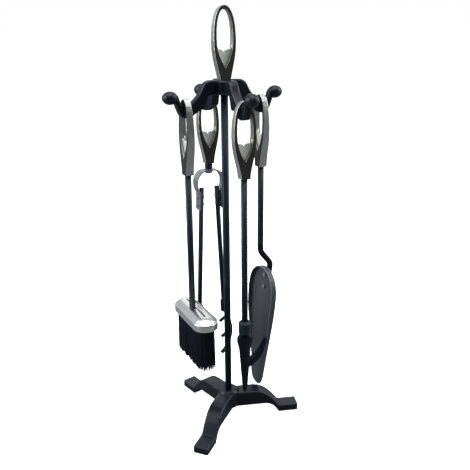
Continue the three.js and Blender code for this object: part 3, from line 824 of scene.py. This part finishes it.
class HEARTH_OT_stage(bpy.types.Operator):
    """Make the pale floor, the soft lights and the camera"""

    bl_idname = "hearth.stage"
    bl_label = "Stage"

    def execute(self, context):
        bpy.context.scene.view_settings.view_transform = "Standard"
        self.floor()
        self.lights()
        self.camera()
        return {"FINISHED"}

    def floor(self):
        bm = bmesh.new()
        bmesh.ops.create_grid(bm, x_segments=2, y_segments=2, size=FLOOR_HALF_SIDE)
        mesh = bpy.data.meshes.new("floor")
        bm.to_mesh(mesh)
        bm.free()
        mesh.materials.append(finish(pale_floor))
        floor = bpy.data.objects.new("floor", mesh)
        floor.location.z = CAD_BOX[0][2] - FLOOR_DROP
        bpy.context.scene.collection.objects.link(floor)

    def lights(self):
        target = Vector(LIGHTS_AIM)
        for name, place, wide, tall, power, tint in SOFTBOXES:
            data = bpy.data.lights.new(name, "AREA")
            data.shape = "RECTANGLE"
            data.size, data.size_y = wide, tall
            data.energy = power
            data.color = tint
            lamp = bpy.data.objects.new(name, data)
            lamp.location = place
            lamp.rotation_euler = (target - Vector(place)).to_track_quat("-Z", "Y").to_euler()
            bpy.context.scene.collection.objects.link(lamp)
        self.surround()

    def surround(self):
        """The room round the set: pale behind it, dim in front of it, and halfway between at the sides,
        overhead and low down.
        """
        world = bpy.data.worlds.new("studio")
        world.use_nodes = True
        tree = world.node_tree
        links = tree.links.new
        backdrop = tree.nodes.new("ShaderNodeBackground")
        backdrop.inputs["Strength"].default_value = BACKDROP_GLOW
        backdrop.inputs["Color"].default_value = (1, 1, 1, 1)
        room = tree.nodes["Background"]
        where = tree.nodes.new("ShaderNodeTexCoord")
        parts = tree.nodes.new("ShaderNodeSeparateXYZ")
        links(where.outputs["Generated"], parts.inputs[0])
        behind = tree.nodes.new("ShaderNodeMapRange")
        behind.inputs["From Min"].default_value = -ROOM_EDGE
        behind.inputs["From Max"].default_value = ROOM_EDGE
        links(parts.outputs["Y"], behind.inputs["Value"])
        tone = tree.nodes.new("ShaderNodeMix")
        tone.data_type = "RGBA"
        tone.inputs[6].default_value = ROOM_DIM
        tone.inputs[7].default_value = ROOM_PALE
        links(behind.outputs[0], tone.inputs[0])
        links(tone.outputs[2], room.inputs["Color"])
        ray = tree.nodes.new("ShaderNodeLightPath")
        mixed = tree.nodes.new("ShaderNodeMixShader")
        links(ray.outputs["Is Camera Ray"], mixed.inputs[0])
        links(room.outputs[0], mixed.inputs[1])
        links(backdrop.outputs[0], mixed.inputs[2])
        links(mixed.outputs[0], tree.nodes["World Output"].inputs["Surface"])
        bpy.context.scene.world = world

    def camera(self):
        """Stands about 0.9 m in front of the post, 0.63 m up, looking a little down."""
        post = middle("post")
        turn, down, roll = (math.radians(angle) for angle in (CAMERA_TURN, CAMERA_DOWN, CAMERA_ROLL))
        ahead = Vector((math.sin(turn) * math.cos(down), math.cos(turn) * math.cos(down), -math.sin(down)))
        right = Vector((math.cos(turn), -math.sin(turn), 0))
        up = right.cross(ahead)
        tilted = right * math.cos(roll) + up * math.sin(roll)
        up = up * math.cos(roll) - right * math.sin(roll)
        data = bpy.data.cameras.new("camera")
        data.lens = CAMERA_LENS
        data.sensor_width = CAMERA_SENSOR
        camera = bpy.data.objects.new("camera", data)
        camera.matrix_world = Matrix((
            (tilted.x, up.x, -ahead.x, post.x + CAMERA_RIGHT),
            (tilted.y, up.y, -ahead.y, post.y - CAMERA_BACK),
            (tilted.z, up.z, -ahead.z, CAMERA_HEIGHT),
            (0, 0, 0, 1)))
        bpy.context.scene.collection.objects.link(camera)
        bpy.context.scene.camera = camera


class HEARTH_PT_sidebar(bpy.types.Panel):
    """Lists the sizes, the colours and a button for each group of pieces"""

    bl_idname = "HEARTH_PT_sidebar"
    bl_label = "Fireplace Tool Set"
    bl_space_type = "VIEW_3D"
    bl_region_type = "UI"
    bl_category = "Hearth"

    def draw(self, context):
        for group in (context.scene.hearth_sizes, context.scene.hearth_finishes):
            column = self.layout.column(align=True)
            for name in type(group).__annotations__:
                column.prop(group, name)
        for operator in OPERATORS:
            self.layout.operator(operator.bl_idname)


OPERATORS = (HEARTH_OT_stage, HEARTH_OT_base, HEARTH_OT_post, HEARTH_OT_hooks, HEARTH_OT_handles,
             HEARTH_OT_shafts, HEARTH_OT_brush, HEARTH_OT_poker, HEARTH_OT_shovel, HEARTH_OT_tongs)
CLASSES = (HearthSizes, HearthFinishes, *OPERATORS, HEARTH_PT_sidebar)


def register():
    for made in CLASSES:
        bpy.utils.register_class(made)
    bpy.types.Scene.hearth_sizes = bpy.props.PointerProperty(type=HearthSizes)
    bpy.types.Scene.hearth_finishes = bpy.props.PointerProperty(type=HearthFinishes)


def unregister():
    del bpy.types.Scene.hearth_finishes
    del bpy.types.Scene.hearth_sizes
    for made in reversed(CLASSES):
        bpy.utils.unregister_class(made)


def main():
    register()
    for operator in OPERATORS:
        group, name = operator.bl_idname.split(".")
        getattr(getattr(bpy.ops, group), name)()


if __name__ == "__main__":
    main()
